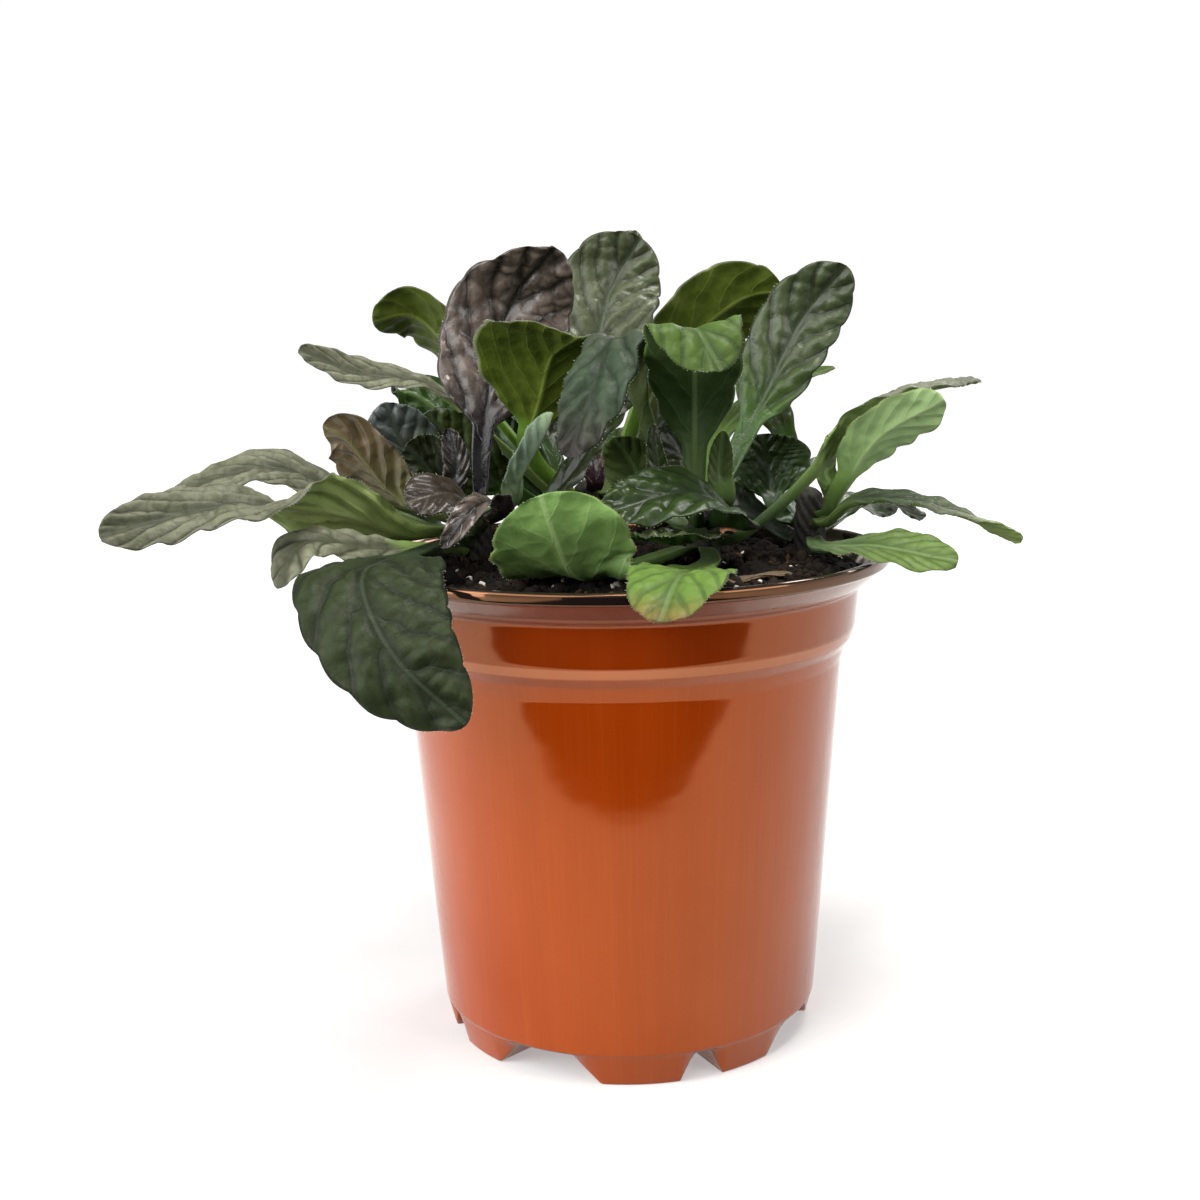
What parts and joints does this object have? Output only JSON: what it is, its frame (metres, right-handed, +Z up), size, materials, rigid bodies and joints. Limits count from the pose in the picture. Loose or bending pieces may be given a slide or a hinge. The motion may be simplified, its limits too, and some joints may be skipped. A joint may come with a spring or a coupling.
{
  "type": "potted bugleweed",
  "caption": "Bugleweed plant with dark rosettes of spoon-shaped quilted leaves on short crowns, growing in soil in a round plastic nursery pot with a flared rim and a drained foot.",
  "frame": {"origin": "centre of the pot's underside, on the plane that the pot stands on", "axes": "+Z up along the pot's axis; -Y is the plant's front, with the longest leaves hanging over the rim towards -X and +X"},
  "size_m": [0.206, 0.1846, 0.2],
  "materials": {
    "pot_plastic": "glossy terracotta-coloured thin moulded polypropylene",
    "potting_soil": "dark moist peat mix with crumbs and a few white grains",
    "crown": "brown rootstock with dry leaf bases",
    "leaf_dark": "dark green satin leaf with pale midrib",
    "leaf_grey": "grey-green leaf with a fine fuzz sheen",
    "leaf_bright": "light green leaf side",
    "leaf_olive": "olive leaf underside with the light behind it",
    "leaf_purple": "purple-brown quilted glossy leaf",
    "leaf_bronze": "bronze-brown leaf with pale veins",
    "withered_stalk": "dry brown stalk"
  },
  "bodies": {
    "root": {"pot": "pot_plastic", "potting_soil": "potting_soil", "left_crown": "crown", "front_crown": "crown", "right_crown": "crown", "rear_crown": "crown", "left_leaf_1": "leaf_grey", "left_leaf_2": "leaf_grey", "left_leaf_3": "leaf_grey", "left_leaf_4": "leaf_dark", "left_leaf_5": "leaf_bronze", "left_leaf_6": "leaf_dark", "left_leaf_7": "leaf_bronze", "left_leaf_8": "leaf_purple", "left_leaf_9": "leaf_purple", "left_leaf_10": "leaf_grey", "left_leaf_11": "leaf_dark", "left_leaf_12": "leaf_dark", "left_leaf_13": "leaf_dark", "left_leaf_14": "leaf_purple", "left_leaf_15": "leaf_dark", "front_leaf_1": "leaf_dark", "front_leaf_2": "leaf_dark", "front_leaf_3": "leaf_bright", "front_leaf_4": "leaf_bright", "front_leaf_5": "leaf_grey", "front_leaf_6": "leaf_bright", "front_leaf_7": "leaf_dark", "front_leaf_8": "leaf_grey", "front_leaf_9": "leaf_bright", "front_leaf_10": "leaf_dark", "front_leaf_11": "leaf_bright", "front_leaf_12": "leaf_bright", "right_leaf_1": "leaf_bright", "right_leaf_2": "leaf_grey", "right_leaf_3": "leaf_bright", "right_leaf_4": "leaf_dark", "right_leaf_5": "leaf_dark", "right_leaf_6": "leaf_dark", "right_leaf_7": "leaf_dark", "right_leaf_8": "leaf_dark", "right_leaf_9": "leaf_bright", "right_leaf_10": "leaf_dark", "rear_leaf_1": "leaf_grey", "rear_leaf_2": "leaf_olive", "rear_leaf_3": "leaf_dark", "rear_leaf_4": "leaf_dark", "rear_leaf_5": "leaf_olive", "rear_leaf_6": "leaf_olive", "rear_leaf_7": "leaf_dark", "rear_leaf_8": "leaf_dark", "rear_leaf_9": "leaf_dark", "rear_leaf_10": "leaf_dark", "rear_leaf_11": "leaf_grey", "rear_leaf_12": "leaf_dark", "rear_leaf_13": "leaf_dark", "rear_leaf_14": "leaf_purple", "rear_leaf_15": "leaf_dark", "rear_leaf_16": "leaf_dark", "withered_stalk": "withered_stalk"}
  },
  "joints": []
}
